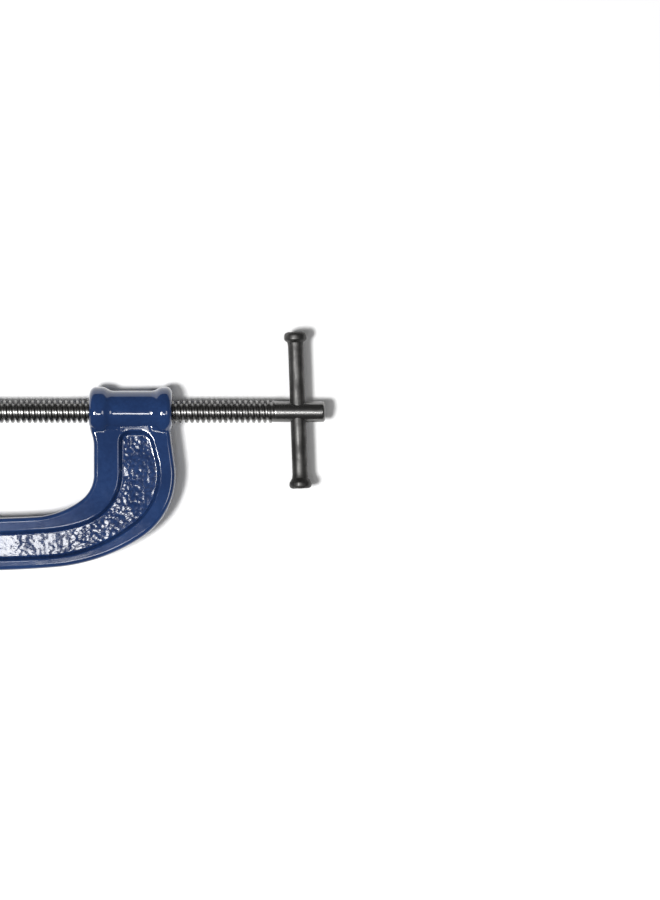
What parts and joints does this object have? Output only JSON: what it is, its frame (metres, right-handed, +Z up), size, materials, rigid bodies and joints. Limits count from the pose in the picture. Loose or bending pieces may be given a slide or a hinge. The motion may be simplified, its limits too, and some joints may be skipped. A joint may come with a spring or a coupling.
{
  "type": "c clamp",
  "caption": "Deep-throated cast C-clamp with an I-section frame, a tapped boss, a trapezoidal screw with a swivel shoe and a sliding tommy bar.",
  "frame": {"origin": "centre of the anvil's bare face, on the screw's axis", "axes": "+X along the screw from the anvil towards the tommy bar; the spine of the C lies towards -Y; +Z up, square to the plane of the C, so that the clamp lies flat"},
  "size_m": [0.3826, 0.1707, 0.0356],
  "materials": {
    "enamel": "deep blue gloss enamel over a cast surface, pebbled in the recessed web",
    "screw_steel": "dark oiled steel, rolled thread, bright along the worn crests",
    "bar_steel": "blackened bar steel with a soft sheen",
    "shoe_steel": "phosphated steel with a bare ground face",
    "spring_steel": "spring wire"
  },
  "bodies": {
    "frame": {"frame": "enamel"},
    "nose_ring": {"shoe_snap_ring": "spring_steel"},
    "screw": {"screw": "screw_steel"},
    "bar": {"tommy_bar": "bar_steel"},
    "shoe": {"swivel_shoe": "shoe_steel"}
  },
  "joints": [
    {"name": "screw_travel", "type": "slide", "parent": "frame", "child": "nose_ring", "axis": [-1, 0, 0], "range_m": [-0.08, 0.066]},
    {"name": "screw_turn", "type": "hinge", "parent": "nose_ring", "child": "screw", "pos_m": [0.08, 0, 0], "axis": [-1, 0, 0], "range_deg": [-7200, 5940]},
    {"name": "bar_slide", "type": "slide", "parent": "screw", "child": "bar", "axis": [-0.0349, 0.9994, 0], "range_m": [-0.04, 0.0375]},
    {"name": "shoe_tilt", "type": "hinge", "parent": "nose_ring", "child": "shoe", "pos_m": [0.08, 0, 0], "axis": [0, 0, 1], "range_deg": [-10, 10]}
  ],
  "couplings": [
    {"joint": "screw_travel", "follows": "screw_turn", "m_per_rad": 0.00063662}
  ]
}
